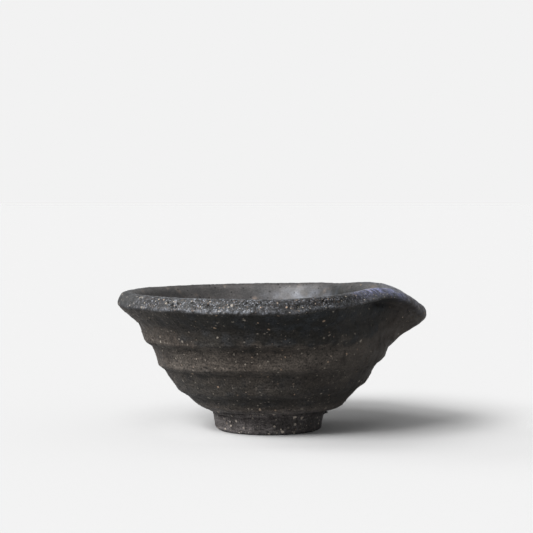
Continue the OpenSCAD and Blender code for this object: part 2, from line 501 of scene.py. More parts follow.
def joined_runs(breaks, steps):
    """Evenly spaced values through all the breaks, and the index of each break."""
    values = [np.array([breaks[0]])]
    marks = [0]
    for low, high, count in zip(breaks[:-1], breaks[1:], steps):
        values.append(np.linspace(low, high, count + 1)[1:])
        marks.append(marks[-1] + count)
    return np.concatenate(values), marks


def quarter_turn(steps, start=0.0):
    return np.linspace(start, start + math.pi / 2, steps + 1)[1:]


def rim_outline():
    """Radii and heights from above the rim's lower edge over the crest and down the mouth to the collar."""
    turn = quarter_turn(RIM_STEPS)
    band_r = CREST_R + RIM_LEAN * np.cos(turn).clip(0) ** (2 / RIM_SQUARE)
    band_z = EDGE_Z + RIM_H * np.sin(turn) ** (2 / RIM_SQUARE)
    turn = quarter_turn(CREST_STEPS)
    lip_r = CREST_R - (CREST_R - inner_r(np.array(LIP_IN_Z))) * np.sin(turn)
    lip_z = LIP_IN_Z + RIM_ROUND * np.cos(turn)
    mouth_z = np.linspace(LIP_IN_Z, EDGE_Z, LIP_STEPS + 1)[1:]
    return np.concatenate([band_r, lip_r, inner_r(mouth_z)]), np.concatenate([band_z, lip_z, mouth_z])


def inside_outline():
    """Radii and heights from the collar's top to the centre of the floor, and the index of each joint."""
    breaks = inner_r(np.array([EDGE_Z, NECK_Z, PULL_Z, SEAM_IN_Z, DISC_IN_Z]))
    r, marks = joined_runs((*breaks, 0.0), INNER_STEPS)
    collar_z = NECK_Z + (r - NECK_IN_R) / (MOUTH_R - NECK_IN_R) * (BOWL_H - NECK_Z)
    return r, np.where(r >= breaks[1], collar_z, dish_z(r)), marks


def outline_stations():
    """Radii and heights of the whole outline at every angle, and the column of each joint."""
    outer_z, outer_marks = joined_runs((FOOT_H, DISC_Z, SEAM_Z, PULL_Z, NECK_Z, EDGE_Z), OUTER_STEPS)
    outer_r = filled_r(np.broadcast_to(outer_z, (TURNS, len(outer_z))), ANGLES[:, None])
    rim_r, rim_z = rim_outline()
    inside_r, inside_z, inside_marks = inside_outline()
    ring = np.concatenate([rim_r, inside_r[1:]])
    r = np.concatenate([outer_r, np.broadcast_to(ring, (TURNS, len(ring)))], axis=1)
    z = np.broadcast_to(np.concatenate([outer_z, rim_z, inside_z[1:]]), r.shape)
    marks = dict(zip(OUTER_JOINTS, outer_marks))
    marks["crest"] = marks["edge"] + RIM_STEPS
    inside_from = marks["crest"] + CREST_STEPS + LIP_STEPS
    for name, mark in zip(INNER_JOINTS, inside_marks):
        marks[name] = inside_from + mark
    return r, z, marks


# The skin: one grid of points, with a row for each angle and a column for each station along the outline


def to_points(r, z):
    """A grid of points from radii and heights, which are given for each column or for each point."""
    turn = np.radians(ANGLES)[:, None]
    return np.stack(np.broadcast_arrays(r * np.cos(turn), r * np.sin(turn), z), axis=-1)


def laid_flat(angle, radius, across):
    """Points of the grid laid out flat, for marks that run along it or across it."""
    return np.stack(np.broadcast_arrays(np.radians(angle) * radius, across, 0.0), axis=-1)


def melted(points, weight, times):
    """The grid with its creases along the columns softened where the weight is high."""
    points = points.copy()
    weight = weight[:, 1:-1, None]
    for _ in range(times):
        between = 0.5 * (points[:, :-2] + points[:, 2:])
        points[:, 1:-1] += MELT_RATE * weight * (between - points[:, 1:-1])
    return points


def grid_normals(points):
    """Outward normals of a grid that closes on itself from the last row to the first."""
    along = np.roll(points, -1, axis=0) - np.roll(points, 1, axis=0)
    up = np.gradient(points, axis=1)
    normal = np.cross(along, up)
    return normal / np.maximum(np.linalg.norm(normal, axis=-1, keepdims=True), LENGTH_LEAST)


def dents(row_step, column_step, where, kind):
    """A field of small round dents or bumps of one kind, at seeded places where a mask is high."""
    count, radius, depth, number = kind
    rng = np.random.default_rng(SEED + number)
    rows, columns = where.shape
    field = np.zeros(where.shape)
    weight = where / where.sum()
    picks = rng.choice(rows * columns, size=count, p=weight.ravel())
    sizes = rng.uniform(*radius, size=count)
    depths = rng.uniform(*depth, size=count)
    for pick, size, deep in zip(picks, sizes, depths):
        row, column = divmod(int(pick), columns)
        steps = np.array((row_step[row, column], column_step[row, column]))
        reach = np.ceil(DENT_REACH * size / np.maximum(steps, STEP_LEAST)).astype(int)
        near_rows = np.arange(row - reach[0], row + reach[0] + 1)
        near_columns = np.arange(max(column - reach[1], 0), min(column + reach[1] + 1, columns))
        across = (near_rows - row)[:, None] * steps[0]
        along = (near_columns - column)[None, :] * steps[1]
        dent = deep * np.exp(-((across ** 2 + along ** 2) / size ** 2) ** DENT_FLATNESS)
        field[np.ix_(near_rows % rows, near_columns)] -= dent
    return field


class Skin:
    """The bowl's skin, its normals and the zones of its clay. The plain skin has no relief yet."""

    def __init__(self):
        r, self.z, self.marks = outline_stations()
        self.columns = np.arange(r.shape[1])[None, :]
        self.signed = from_spout(ANGLES)[:, None]
        self.off = np.abs(self.signed)
        self.left = turned(LEFT_END)
        self.beak = 1 - within(self.off, *BEAK_ENDS)
        pulled_points = to_points(*pulled(r, self.z, ANGLES[:, None]))
        self.plain = melted(pulled_points, self.melt_share(), MELT_TIMES)
        self.plain[..., 2] += sum(hump(self.signed, lift) for lift in RIM_LIFTS) * self.on(LIFTED)
        self.plain[..., 2] += self.edge_sway()
        self.row_step = np.linalg.norm(np.roll(self.plain, -1, axis=0) - self.plain, axis=-1)
        self.column_step = np.linalg.norm(np.gradient(self.plain, axis=1), axis=-1)
        self.path = np.cumsum(self.column_step, axis=1)
        self.find_bands()
        normal = self.outward(self.plain)
        brow = normal * SIDEWAYS * (BROW_OUT * self.brow_share())[..., None]
        self.points = self.plain + normal * self.relief()[..., None] + brow
        self.normals = self.outward(self.points)
        self.zones = self.clay_zones()

    # Places on the skin

    def column(self, place):
        joint, past = place
        return self.marks[joint] + past

    def on(self, stretch):
        """The share of a stretch of the outline."""
        return within(self.columns, *(self.column(place) for place in stretch))

    def along(self, line):
        strength, *place, spread = line
        return strength * bell(self.columns - self.column(place), spread)

    def outward(self, points):
        normal = grid_normals(points)
        normal[:, self.marks["floor"]] = (0, 0, 1)
        return normal

    def lumps(self, *kinds):
        return lumps(self.plain, *kinds)

    def find_bands(self):
        """Shares of the inside, of the rim outside it, of the wall, and of sand on the rim."""
        self.inside = self.on(INSIDE) * np.ones_like(self.z)
        self.rim = self.on(RIM) * (1 - self.inside) * (1 - self.beak * (1 - self.on(BEAK_RIM)))
        self.wall = 1 - np.maximum(self.inside, self.rim)
        patches = (SAND_BASE + self.lumps(SAND_PATCHES)).clip(SAND_LEAST, 1)
        self.sandy = self.rim * within(self.off, *SAND_ANGLES) * patches * (1 - self.left)

    # Shape of the plain skin

    def melt_share(self):
        """Where creases are softened: the lip, the sides of the beak, and the rolled end of the rim."""
        blunt = self.beak * (1 - hump(self.off, BEAK_CREASE))
        melted_end = self.left * self.along(MELTED_EDGE)
        return np.maximum(np.maximum(self.on(LIP), self.on(BEAK_SIDE) * blunt), melted_end)

    def edge_sway(self):
        """Ups and downs of the rim's lower edge, except at the beak."""
        sway = self.lumps(EDGE_SWAY, EDGE_WAVER) * (1 - self.left) + hump(self.off, EDGE_LIFT)
        return sway * self.along(SWAYING_EDGE) * (1 - self.beak)

    def brow_share(self):
        """The brow is fullest at the rim's lower edge and fades out up the rim, on both sides of the beak."""
        edge = self.marks["edge"]
        above = np.clip((self.columns - edge) / (self.marks["crest"] - edge), 0, 1)
        under = bell(np.minimum(self.columns - edge, 0), BROW_UNDER)
        return within(self.off, *BROW_ANGLES) * (1 - above) * under * (1 - self.inside)

    # Relief, in millimetres outwards

    def relief(self):
        out = self.clay_lumps() + self.rim_edge() + self.throwing_rings() + self.combed_collar()
        out = out + self.pits_and_grog() - CRACK_DEPTH * self.crack_share() * self.wall
        centre = self.marks["floor"]
        out[:, centre] = out[:, centre].mean()
        return out

    def clay_lumps(self):
        uneven = self.lumps(BROAD_LUMPS, SMALL_LUMPS) * (1 - INSIDE_SMOOTHED * self.inside)
        sand = self.sandy * self.lumps(SAND_LUMPS, SAND_GRAIN)
        return uneven + self.wall * self.lumps(TURNED_LINES, WALL_GRAIN) + sand

    def rim_edge(self):
        """The bead on the rim's edge, the groove above it, its rolled end, and the hollow under the brow."""
        bead = self.along(BEAD) * (BEAD_H + self.lumps(BEAD_LUMPS))
        groove = self.along(GROOVE) * (GROOVE_DEPTH + self.lumps(GROOVE_LUMPS))
        hollow = hump(self.off, BEAK_HOLLOW) * self.along(HOLLOW)
        rolled = self.left * self.along(ROLL)
        return (bead - groove) * within(self.off, *BEAD_ANGLES) - hollow + rolled

    def throwing_rings(self):
        """Faint rings inside, which wind in to the centre of the floor."""
        to_centre = self.path[:, self.marks["floor"]][:, None] - self.path
        rings = np.cos(2 * np.pi * (to_centre / RING_PITCH - ANGLES[:, None] / 360.0))
        return RING_H * self.inside * self.on(RINGED) * within(to_centre, *RING_CENTRE) * rings

    def combed_collar(self):
        flat = laid_flat(ANGLES[:, None], RIM_R, self.path)
        return self.on(COMBED) * self.wall * lumps(flat, COMB_LINES)

    def crack_share(self):
        height = CRACK_Z + CRACK_RISE * turned(HEEL)
        return bell(self.z - height, CRACK_WIDTH) * within(self.lumps(CRACK_GAPS), *CRACK_OPENING)

    def pits_and_grog(self):
        area = self.row_step * self.column_step
        wall_area = area * (1 - self.inside) * self.wall
        places = ((wall_area, WALL_PITS), (wall_area, WALL_GROG), (area * self.sandy, RIM_PITS))
        return sum(dents(self.row_step, self.column_step, where, kind) for where, kind in places)

    # Zones of the clay, each from 0 to 1

    def clay_zones(self):
        smoke = self.wall_smoke_and_shade() + self.inside_darkening()
        uneven = within(self.lumps(PALE_PATCHES), *PALE_PATCH_EDGES)
        tip = hump(self.signed, TIP) * self.on(TIP_BAND) * (1 - self.inside)
        # Pale crest and bead: wear, and painted highlight
        wear = self.along(PALE_CREST) + self.along(PALE_BEAD) * self.sandy
        # Painted highlight on the beak's tip and along its top
        wear = wear + TIP_HIGHLIGHT * tip + hump(self.signed, BEAK_TOP_HIGHLIGHT) * self.on(BEAK_TOP_HIGHLIGHT_BAND)
        low = (1 - within(self.z + self.lumps(BARE_LUMPS), *BARE_Z)) * self.wall
        smoothed = hump(self.signed, SMOOTH_SIDE) * self.wall
        return {
            "inside": self.inside,
            "rim": self.rim,
            "sandy": self.sandy,
            "smoke": smoke,
            "dim": self.painted_shade_share(smoke),
            "violet": self.flash_and_sheen_share(),
            "wear": (wear * uneven).clip(0, 1),
            # Greyer clay low on the heel, and painted highlight on the beak's tip
            "bare": np.maximum(low, TIP_HIGHLIGHT_BARE * tip * uneven),
            "grainy": (1 - INSIDE_GRAIN_LOSS * self.inside) * (1 - smoothed),
        }

    def wall_smoke_and_shade(self):
        fray = self.lumps(SMOKE_LUMPS, SMOKE_FRAY)
        clear = 1 - turned(SMOKE_CLEAR)
        collar = within(self.z + fray, *SMOKE_Z) * clear
        tongue_z = TONGUE_Z + TONGUE_RISE * (1 - within(ANGLES, *TONGUE_ANGLES))[:, None]
        tongue = ramp(self.z + fray - tongue_z, *TONGUE_RAMP) * clear
        # Darker low down
        low = ramp(self.z, *LOW_RAMP) * (1 - within(self.z + LOW_DARKER_FRAY * fray, *LOW_DARKER_UNTIL))
        # Smoke under the rim and down the front, darker low down, and painted shade in the crack
        smoke = np.maximum(np.maximum(collar, tongue), np.maximum(low, CRACK_SHADE * self.crack_share()))
        return smoke * self.wall * step(self.off, *BEAK_SMOKE_STEP)

    def inside_darkening(self):
        frayed = self.signed + self.lumps(LIP_SHADE_LUMPS, LIP_SHADE_FRAY)
        # Darker on the far side of the spout, and painted shade in a patch under the lip
        return self.inside * (hump(self.signed, INSIDE_DARKER_SIDE) + self.on(LIP_SHADE_BAND) * hump(frayed, LIP_SHADE))

    def painted_shade_share(self, smoke):
        # Painted shade on the rim away from the beak, spared on the stretch where the lamps fall, and more at
        # the rim's left end
        away = ramp(self.off, *RIM_SHADE_RAMP) * (1 - hump(self.signed, RIM_LIT_STRETCH))
        dim = self.rim * (away + LEFT_END_SHADE * self.left)
        # Painted shade beside the beak, on the side that faces away from the lamps
        side_shade = hump(self.signed, SHADED_SIDE) * step(self.off, *SHADED_SIDE_STEP)
        side_shade = side_shade * (1 - self.inside) * (1 - within(self.off, *SHADED_SIDE_RIM_ANGLES) * self.rim)
        # Painted shade in the wall's grooves under the ridge
        groove = (1 - ridge(self.z, ANGLES[:, None])) ** 2 * ramp(self.z, *GROOVE_SHADE_RAMP) * self.wall
        return np.maximum(np.maximum(dim, side_shade * (1 - smoke)), groove)

    def flash_and_sheen_share(self):
        near = ramp(-self.signed, *FLASH_RAMP) * step(-self.signed, *FLASH_STEP)
        tipward = 1 - within(self.off, *FLASH_TIP_ANGLES)
        flash = self.on([("edge", past + at_tip * tipward) for past, at_tip in FLASH_COLUMNS])
        flash = flash * (1 - self.inside) * (near + hump(self.signed, FAR_FLASH))
        flat = laid_flat(self.signed, MOUTH_R, STREAK_STEP * self.columns)
        streaks = within(lumps(flat, VIOLET_STREAKS), *STREAK_EDGES)
        # The sheen inside is a painted highlight, a painted reflection of the lamps
        sheen = self.inside * hump(self.signed, PAINTED_SHEEN) * self.along(SHEEN_LINE)
        sheen = sheen * (SHEEN_BASE + self.lumps(SHEEN_LUMPS)).clip(0)
        return (flash * (STREAK_BASE + STREAK_GAIN * streaks) + sheen).clip(0, 1)

    def cut(self, rows, *stretches):
        """The skin in some rows and between pairs of joints, side by side, and the last column of each."""
        runs = [np.arange(self.marks[first], self.marks[last] + 1) for first, last in stretches]
        joints = np.cumsum([len(run) for run in runs]) - 1
        pick = np.ix_(rows, np.concatenate(runs))
        zones = {zone: values[pick] for zone, values in self.zones.items()}
        return self.points[pick], zones, self.normals[pick], joints


# The foot and the underside, which aren't part of the skin


def plain_zones(shape):
    """The zones of grainy clay in the foot's greyer colour, with a little sand."""
    zones = {zone: np.zeros(shape) for zone in ZONES}
    zones["sandy"] += FOOT_SAND
    zones["bare"] += 1
    zones["grainy"] += 1
    return zones


def quarter_round(centre_r, radius, start):
    """Radii and heights of a rounded lower edge, from the turn where it starts, without its first point."""
    turn = quarter_turn(ROUND_STEPS, start)
    return centre_r + radius * np.cos(turn), radius + radius * np.sin(turn)


def foot_outline():
    """Radii and heights of the foot ring, from the top of its bore down, under and up its outside."""
    stand_from = FOOT_IN_R + FOOT_IN_ROUND
    stand_to = FOOT_BASE_R - FOOT_ROUND
    bore_z = np.linspace(FOOT_H, FOOT_IN_ROUND, BORE_POINTS)
    inner_edge_r, inner_edge_z = quarter_round(stand_from, FOOT_IN_ROUND, math.pi)
    stand_r = np.linspace(stand_from, stand_to, STAND_POINTS)[1:]
    outer_edge_r, outer_edge_z = quarter_round(stand_to, FOOT_ROUND, 1.5 * math.pi)
    side_z = np.linspace(FOOT_ROUND, FOOT_H, SIDE_POINTS)[1:]
    share = (side_z - FOOT_ROUND) / (FOOT_H - FOOT_ROUND)
    side_r = FOOT_BASE_R + (FOOT_TOP_R - FOOT_BASE_R) * share ** FOOT_SIDE_CURVE
    r = np.concatenate([np.full_like(bore_z, FOOT_IN_R), inner_edge_r, stand_r, outer_edge_r, side_r])
    z = np.concatenate([bore_z, inner_edge_z, np.zeros_like(stand_r), outer_edge_z, side_z])
    return r, z


def foot_grid():
    """The foot ring's points, with lumps, chips on its standing edge and the burr, and its zones."""
    r, z = foot_outline()
    plain = to_points(r, z)
    height = plain[..., 2]
    chips = hump(height, CHIPS) * (lumps(plain, CHIP_LUMPS) + CHIP_BASE).clip(0)
    burr = turned(BURR) * within(r, *BURR_R) * within(z, *BURR_Z) * (1 + lumps(plain, BURR_LUMPS))
    relief = lumps(plain, *FOOT_LUMPS) - chips + burr
    grid = plain + grid_normals(plain) * relief[..., None]
    grid[..., 2] = np.where(height < STAND_Z, 0.0, np.maximum(grid[..., 2], 0.0))
    zones = plain_zones(height.shape)
    # Painted shade on the foot's side away from the lamps
    zones["smoke"] += turned(FOOT_SHADED_SIDE)
    zones["wear"] += hump(height, FOOT_WEAR)
    return grid, zones


def underside_grid():
    """The floor disc's underside and its zones: the hollow inside the foot, the spigot and its seat."""
    hollow_r = np.linspace(0, FOOT_IN_R, HOLLOW_POINTS)
    spigot_z = np.linspace(RECESS_H, FOOT_H, SPIGOT_STEPS + 1)[1:]
    seat_r = np.linspace(FOOT_IN_R, FOOT_TOP_R, SEAT_STEPS + 1)[1:-1]
    r = np.concatenate([hollow_r, np.full_like(spigot_z, FOOT_IN_R), seat_r])
    z = np.concatenate([np.full_like(hollow_r, RECESS_H), spigot_z, np.full_like(seat_r, FOOT_H)])
    grid = to_points(r, z)
    rings = np.cos(2 * np.pi * (r / TURNING_PITCH + ANGLES[:, None] / 360.0))
    turning = TURNING_H * rings * within(r, *TURNING_CENTRE)
    hollow = (np.arange(len(r)) < HOLLOW_POINTS - 1) * within(r, *HOLLOW_CENTRE)
    grid[..., 2] += hollow * (turning + lumps(grid, UNDERSIDE_LUMPS))
    return grid, plain_zones(grid.shape[:2])


# Meshes


def add_object(name, data):
    made = bpy.data.objects.new(name, data)
    bpy.context.scene.collection.objects.link(made)
    return made


def mesh_from(name, points, faces, zones, normals, hidden):
    """A mesh with its zones. Its faces keep the skin's own normals, so the shading runs on over a joint.

    Hidden faces inside joints, and points whose normal is zero, get the mesh's own normals.
    """
    mesh = bpy.data.meshes.new(name)
    mesh.from_pydata((points * MM).tolist(), [], faces)
    for zone, values in zones.items():
        layer = mesh.attributes.new(zone, "FLOAT", "POINT")
        layer.data.foreach_set("value", np.ascontiguousarray(values, np.float32))
    mesh.validate()
    mesh.polygons.foreach_set("use_smooth", np.ones(len(mesh.polygons), bool))
    mesh.set_sharp_from_angle(angle=math.radians(SHARP_ANGLE))
    corners = np.empty(len(mesh.loops), np.int32)
    mesh.loops.foreach_get("vertex_index", corners)
    sides = np.empty(len(mesh.polygons), np.int32)
    mesh.polygons.foreach_get("loop_total", sides)
    shown = np.repeat(~hidden, sides)
    mesh.normals_split_custom_set((normals[corners] * shown[:, None]).tolist())
    return add_object(name, mesh)


def loop_faces(rows, columns, closed_rows, closed_columns):
    """Four-sided faces of a grid whose columns run anticlockwise round its section."""
    index = np.arange(rows * columns).reshape(rows, columns)
    index = np.pad(index, ((0, closed_rows), (0, closed_columns)), mode="wrap")
    corners = (index[:-1, :-1], index[1:, :-1], index[1:, 1:], index[:-1, 1:])
    return np.stack([c.ravel() for c in corners], axis=1).tolist()


def section_piece(name, grid, zones, normals, joints, closed_rows):
    """A solid from a grid of sections: a ring, or a length of ring with flat ends."""
    rows, columns = grid.shape[:2]
    faces = loop_faces(rows, columns, closed_rows, True)
    hidden = np.isin(np.arange(len(faces)) % columns, joints)
    if not closed_rows:
        faces.append(list(range(columns)))
        faces.append([(rows - 1) * columns + j for j in range(columns - 1, -1, -1)])
        hidden = np.append(hidden, (True, True))
    flat = {zone: values.reshape(-1) for zone, values in zones.items()}
    return mesh_from(name, grid.reshape(-1, 3), faces, flat, normals.reshape(-1, 3), hidden)


def poles_last(values):
    """The values of a grid as a list, with its first and last columns as one entry each, at the end."""
    tail = values.shape[2:]
    return np.concatenate([values[:, 1:-1].reshape(-1, *tail), values[:1, 0], values[:1, -1]])


def disc_piece(name, grid, zones, normals, joints):
    """A solid whose sections start and end on the axis, so its first and last columns are single points."""
    rows, columns = grid.shape[:2]
    inner = columns - 2
    under = rows * inner
    over = under + 1
    faces = loop_faces(rows, inner, True, False)
    hidden = np.isin(np.arange(len(faces)) % (inner - 1) + 1, joints)
    for i in range(rows):
        next_i = (i + 1) % rows
        faces.append([under, next_i * inner, i * inner])
        faces.append([over, i * inner + inner - 1, next_i * inner + inner - 1])
    hidden = np.append(hidden, np.zeros(2 * rows, bool))
    flat = {zone: poles_last(values) for zone, values in zones.items()}
    return mesh_from(name, poles_last(grid), faces, flat, poles_last(normals), hidden)


# Colours of the clay


def rgb(red, green, blue):
    return (red, green, blue, 1.0)


BROWN = rgb(0.027, 0.0222, 0.0185)
PALE_BROWN = rgb(0.044, 0.0375, 0.032)
DARK_BROWN = rgb(0.011, 0.009, 0.008)
# Smoke colours, also used for painted shade
SMOKE_AND_SHADE_BLACK = rgb(0.005, 0.005, 0.0045)
SMOKE_AND_SHADE_BLUE = rgb(0.0112, 0.0126, 0.0142)
RIM_SMOOTH = rgb(0.0132, 0.0135, 0.0141)
RIM_GREY = rgb(0.0185, 0.0191, 0.0207)
RIM_DARK = rgb(0.0015, 0.0014, 0.0013)
# Pale grains, and the pale of worn clay and of painted highlights
RIM_PALE = rgb(0.080, 0.084, 0.094)
INSIDE_GREY = rgb(0.0283, 0.0266, 0.0261)
INSIDE_DARK = rgb(0.0192, 0.0184, 0.0184)
BEIGE = rgb(0.050, 0.042, 0.037)
BLOT_BEIGE = rgb(0.105, 0.078, 0.060)
SAND_WARM = rgb(0.050, 0.037, 0.028)
VIOLET = rgb(0.052, 0.057, 0.108)
# Painted sheen: a painted highlight inside the bowl
PAINTED_SHEEN_BLUE = rgb(0.076, 0.082, 0.096)
# The foot's greyer clay, also painted on the beak's tip as painted highlight
FOOT_GREY = rgb(0.056, 0.050, 0.049)
FOOT_DARK = rgb(0.035, 0.031, 0.030)
GROG_PALE = rgb(0.19, 0.168, 0.14)
GROG_ORANGE = rgb(0.165, 0.118, 0.084)
CRUMB = rgb(0.25, 0.22, 0.19)
# Black of the pits: painted shade in small holes
PIT_SHADE_BLACK = rgb(0.003, 0.003, 0.003)

# Noise in the clay: size in millimetres, detail and roughness
COARSE_GRAIN = (0.62, 2, 0.6)
FINE_GRAIN = (0.34, 2, 0.5)
SAND_CLUMPS = (3, 2, 0.5)

# Patterns in the clay: noise as above, the range of it that counts, and the values there if not 0 to 1
BROAD_TONES = (18, 3, 0.5, 0.38, 0.64)
DARK_PATCHES = (4.5, 3, 0.5, 0.52, 0.75, 0, 0.7)
SMOKE_AND_SHADE_PATCHES = (4.5, 3, 0.5, 0.42, 0.66)
ROUGH_PATCHES = (4.5, 3, 0.5, 0.30, 0.70, 0.6, 0.8)
FOOT_PATCHES = (4, 3, 0.5, 0.40, 0.66)
INSIDE_PATCHES = (8, 3, 0.5, 0.36, 0.62)
BEIGE_PATCHES = (5, 1, 0.5, 0.58, 0.80)
GRAIN_TONES = (0.7, 3, 0.7, 0.34, 0.66, 0.5, 1.6)
DRAWN_TONES = (4, 3, 0.5, 0.36, 0.64, 0.78, 1.22)
DRAWN_STRETCH = (1, 1, 4)
# How strongly worn clay and painted highlights pale the clay
WEAR_AND_HIGHLIGHT_SHARE = 0.7

# Sand on the rim: size, wobble, push and detail of its grains, and the shades or hues that give each colour
SAND_CELLS = (0.52, 0.3, 0.3, 1)
CLUMP_SHARE = 0.3
SAND_GREYS = (0.2, 0.8)
SAND_PALES = (0.80, 0.95)
SAND_WARMS = (0.86, 0.96, 0, 0.7)

# Faint blots inside
BLOT_MM = 8.0
BLOT_KEEP = 0.5
BLOT_GROWTH = 0.14
BLOT_EDGE = (0.05, 0.2, 1, 0)
BLOT_SHARE = 0.6

# Specks: size of their cells in millimetres, radius as a share of it, and share of the cells that have one
LARGE_GROG = (3.4, 0.135, 0.55)
SMALL_GROG = (1.6, 0.17, 0.55)
PITS = (1.9, 0.17, 0.55)
CRUMBS = (2.6, 0.215, 0.65)
SPECK_WOBBLE = 0.35
SPECK_PUSH = 0.4
SPECK_DETAIL = 2.0
SPECK_LEAST = 0.45
LARGE_ORANGES = (0.6, 0.85)
SMALL_ORANGES = (0.6, 0.9)
LARGE_BOLD = (0, 1, 0.35, 0.95)
CRUMB_BOLD = (0, 1, 0.25, 1)
SMALL_SHARE = 0.58
DARKENING_HIDES = 0.25
INSIDE_FEWER = 0.75
PIT_SHADE_SHARE = 0.8

# Gloss and fine relief of the clay
SPECULAR = 0.14
COAT_ROUGHNESS = 0.42
POLISH = (0, 0.6, 0.14, 0)
FLASH_COAT = 0.30
RIM_COAT = 0.05
COARSE_SHARE = 0.7
FINE_SHARE = 0.3
SAND_HEIGHT = -0.8
GROG_HEIGHT = 0.25
PIT_DEPTH = 0.5
BUMP_STRENGTH = 0.7
BUMP_MM = 0.25


# Materials


class Nodes:
    """Adds shader nodes to one tree, with values or links given by input name."""

    def __init__(self, tree):
        self.tree = tree

    def put(self, socket, value):
        if isinstance(value, bpy.types.NodeSocket):
            self.tree.links.new(value, socket)
        else:
            socket.default_value = value

    def fill(self, node, **inputs):
        for key, value in inputs.items():
            self.put(node.inputs[key.replace("_", " ")], value)

    def add(self, kind, settings=None, **inputs):
        made = self.tree.nodes.new("ShaderNode" + kind)
        for key, value in (settings or {}).items():
            setattr(made, key, value)
        self.fill(made, **inputs)
        return made

    def place(self):
        return self.add("TexCoord").outputs["Object"]

    def zone(self, name):
        return self.add("Attribute", {"attribute_name": name}).outputs["Fac"]

    def operate(self, kind, operation, values):
        made = self.add(kind, {"operation": operation})
        for socket, value in zip(made.inputs, values):
            self.put(socket, value)
        return made.outputs

    def math(self, operation, *values):
        return self.operate("Math", operation, values)["Value"]

    def vector(self, operation, *values):
        return self.operate("VectorMath", operation, values)["Vector"]

    def plus(self, first, second):
        return self.math("ADD", first, second)

    def times(self, first, *others):
        product = first
        for other in others:
            product = self.math("MULTIPLY", product, other)
        return product

    def rest(self, share):
        return self.math("SUBTRACT", 1.0, share)

    def texture(self, kind, where, size_mm, **inputs):
        return self.add("Tex" + kind, Vector=where, Scale=1 / (size_mm * MM), **inputs).outputs

    def noise(self, where, size_mm, detail, roughness):
        return self.texture("Noise", where, size_mm, Detail=detail, Roughness=roughness)["Fac"]

    def spread(self, value, low, high, to_low=0.0, to_high=1.0):
        """A value eased from one range to another."""
        ends = {"From_Min": low, "From_Max": high, "To_Min": to_low, "To_Max": to_high}
        made = self.add("MapRange", {"interpolation_type": "SMOOTHSTEP"}, Value=value, **ends)
        return made.outputs["Result"]

    def pattern(self, where, kind):
        size_mm, detail, roughness, *ranges = kind
        return self.spread(self.noise(where, size_mm, detail, roughness), *ranges)

    def cells(self, where, size_mm):
        """Cells of a size: the three random numbers of each cell, and the distance from its middle."""
        made = self.texture("Voronoi", where, size_mm)
        parts = self.add("SeparateColor", Color=made["Color"]).outputs
        return parts["Red"], parts["Green"], parts["Blue"], made["Distance"]

    def ragged_cells(self, where, size_mm, wobble_mm, push_mm, detail):
        """Cells whose edges are pushed about by noise."""
        wobble = self.texture("Noise", where, wobble_mm, Detail=detail)["Color"]
        return self.cells(self.vector("MULTIPLY_ADD", wobble, (push_mm * MM,) * 3, where), size_mm)

    def blend(self, share, first, second, way="MIX"):
        made = self.add("Mix", {"data_type": "RGBA", "blend_type": way})
        self.put(made.inputs[0], share)
        self.put(made.inputs[6], first)
        self.put(made.inputs[7], second)
        return made.outputs[2]


def new_material(name):
    """A material, its nodes and its shader."""
    material = bpy.data.materials.new(name)
    material.use_nodes = True
    return material, Nodes(material.node_tree), material.node_tree.nodes["Principled BSDF"]


def soft_blots(n, where):
    """A mask of faint round blots with soft edges: one in each kept cell."""
    chance, growth, _, distance = n.cells(where, BLOT_MM)
    near = n.math("SUBTRACT", distance, n.times(growth, BLOT_GROWTH))
    kept = n.math("LESS_THAN", chance, BLOT_KEEP)
    return n.times(n.spread(near, *BLOT_EDGE), kept)


def specks(n, where, kind):
    """A mask of small ragged specks, one in each kept cell, and a random tone for each of them."""
    size_mm, radius, keep = kind
    made = n.ragged_cells(where, size_mm, SPECK_WOBBLE * size_mm, SPECK_PUSH * size_mm, SPECK_DETAIL)
    chance, own_tone, growth, distance = made
    reach = n.plus(n.times(growth, radius), SPECK_LEAST * radius)
    dot = n.math("LESS_THAN", distance, reach)
    kept = n.math("LESS_THAN", chance, keep)
    return n.times(dot, kept), own_tone


def wall_colour(n, where, zone):
    """Brown clay with paler tones and darker patches, and greyer clay on the foot, low on the heel and on the
    beak's tip, where it is painted highlight.
    """
    clay = n.blend(n.pattern(where, BROAD_TONES), BROWN, PALE_BROWN)
    clay = n.blend(n.pattern(where, DARK_PATCHES), clay, DARK_BROWN)
    bare = n.blend(n.pattern(where, FOOT_PATCHES), FOOT_GREY, FOOT_DARK)
    return n.blend(zone.bare, clay, bare)


def inside_colour(n, where):
    clay = n.blend(n.pattern(where, INSIDE_PATCHES), INSIDE_DARK, INSIDE_GREY)
    clay = n.blend(n.pattern(where, BEIGE_PATCHES), clay, BEIGE)
    return n.blend(n.times(soft_blots(n, where), BLOT_SHARE), clay, BLOT_BEIGE)


def rim_colour(n, where, zone, grain, hue):
    """Grey clay, and where it is sandy, grains that each have a shade of their own."""
    clump = n.math("MULTIPLY_ADD", n.noise(where, *SAND_CLUMPS), CLUMP_SHARE, -CLUMP_SHARE / 2)
    shade = n.plus(grain, clump)
    sand = n.blend(n.spread(shade, *SAND_GREYS), RIM_DARK, RIM_GREY)
    sand = n.blend(n.spread(shade, *SAND_PALES), sand, RIM_PALE)
    sand = n.blend(n.spread(hue, *SAND_WARMS), sand, SAND_WARM)
    return n.blend(zone.sandy, RIM_SMOOTH, sand)


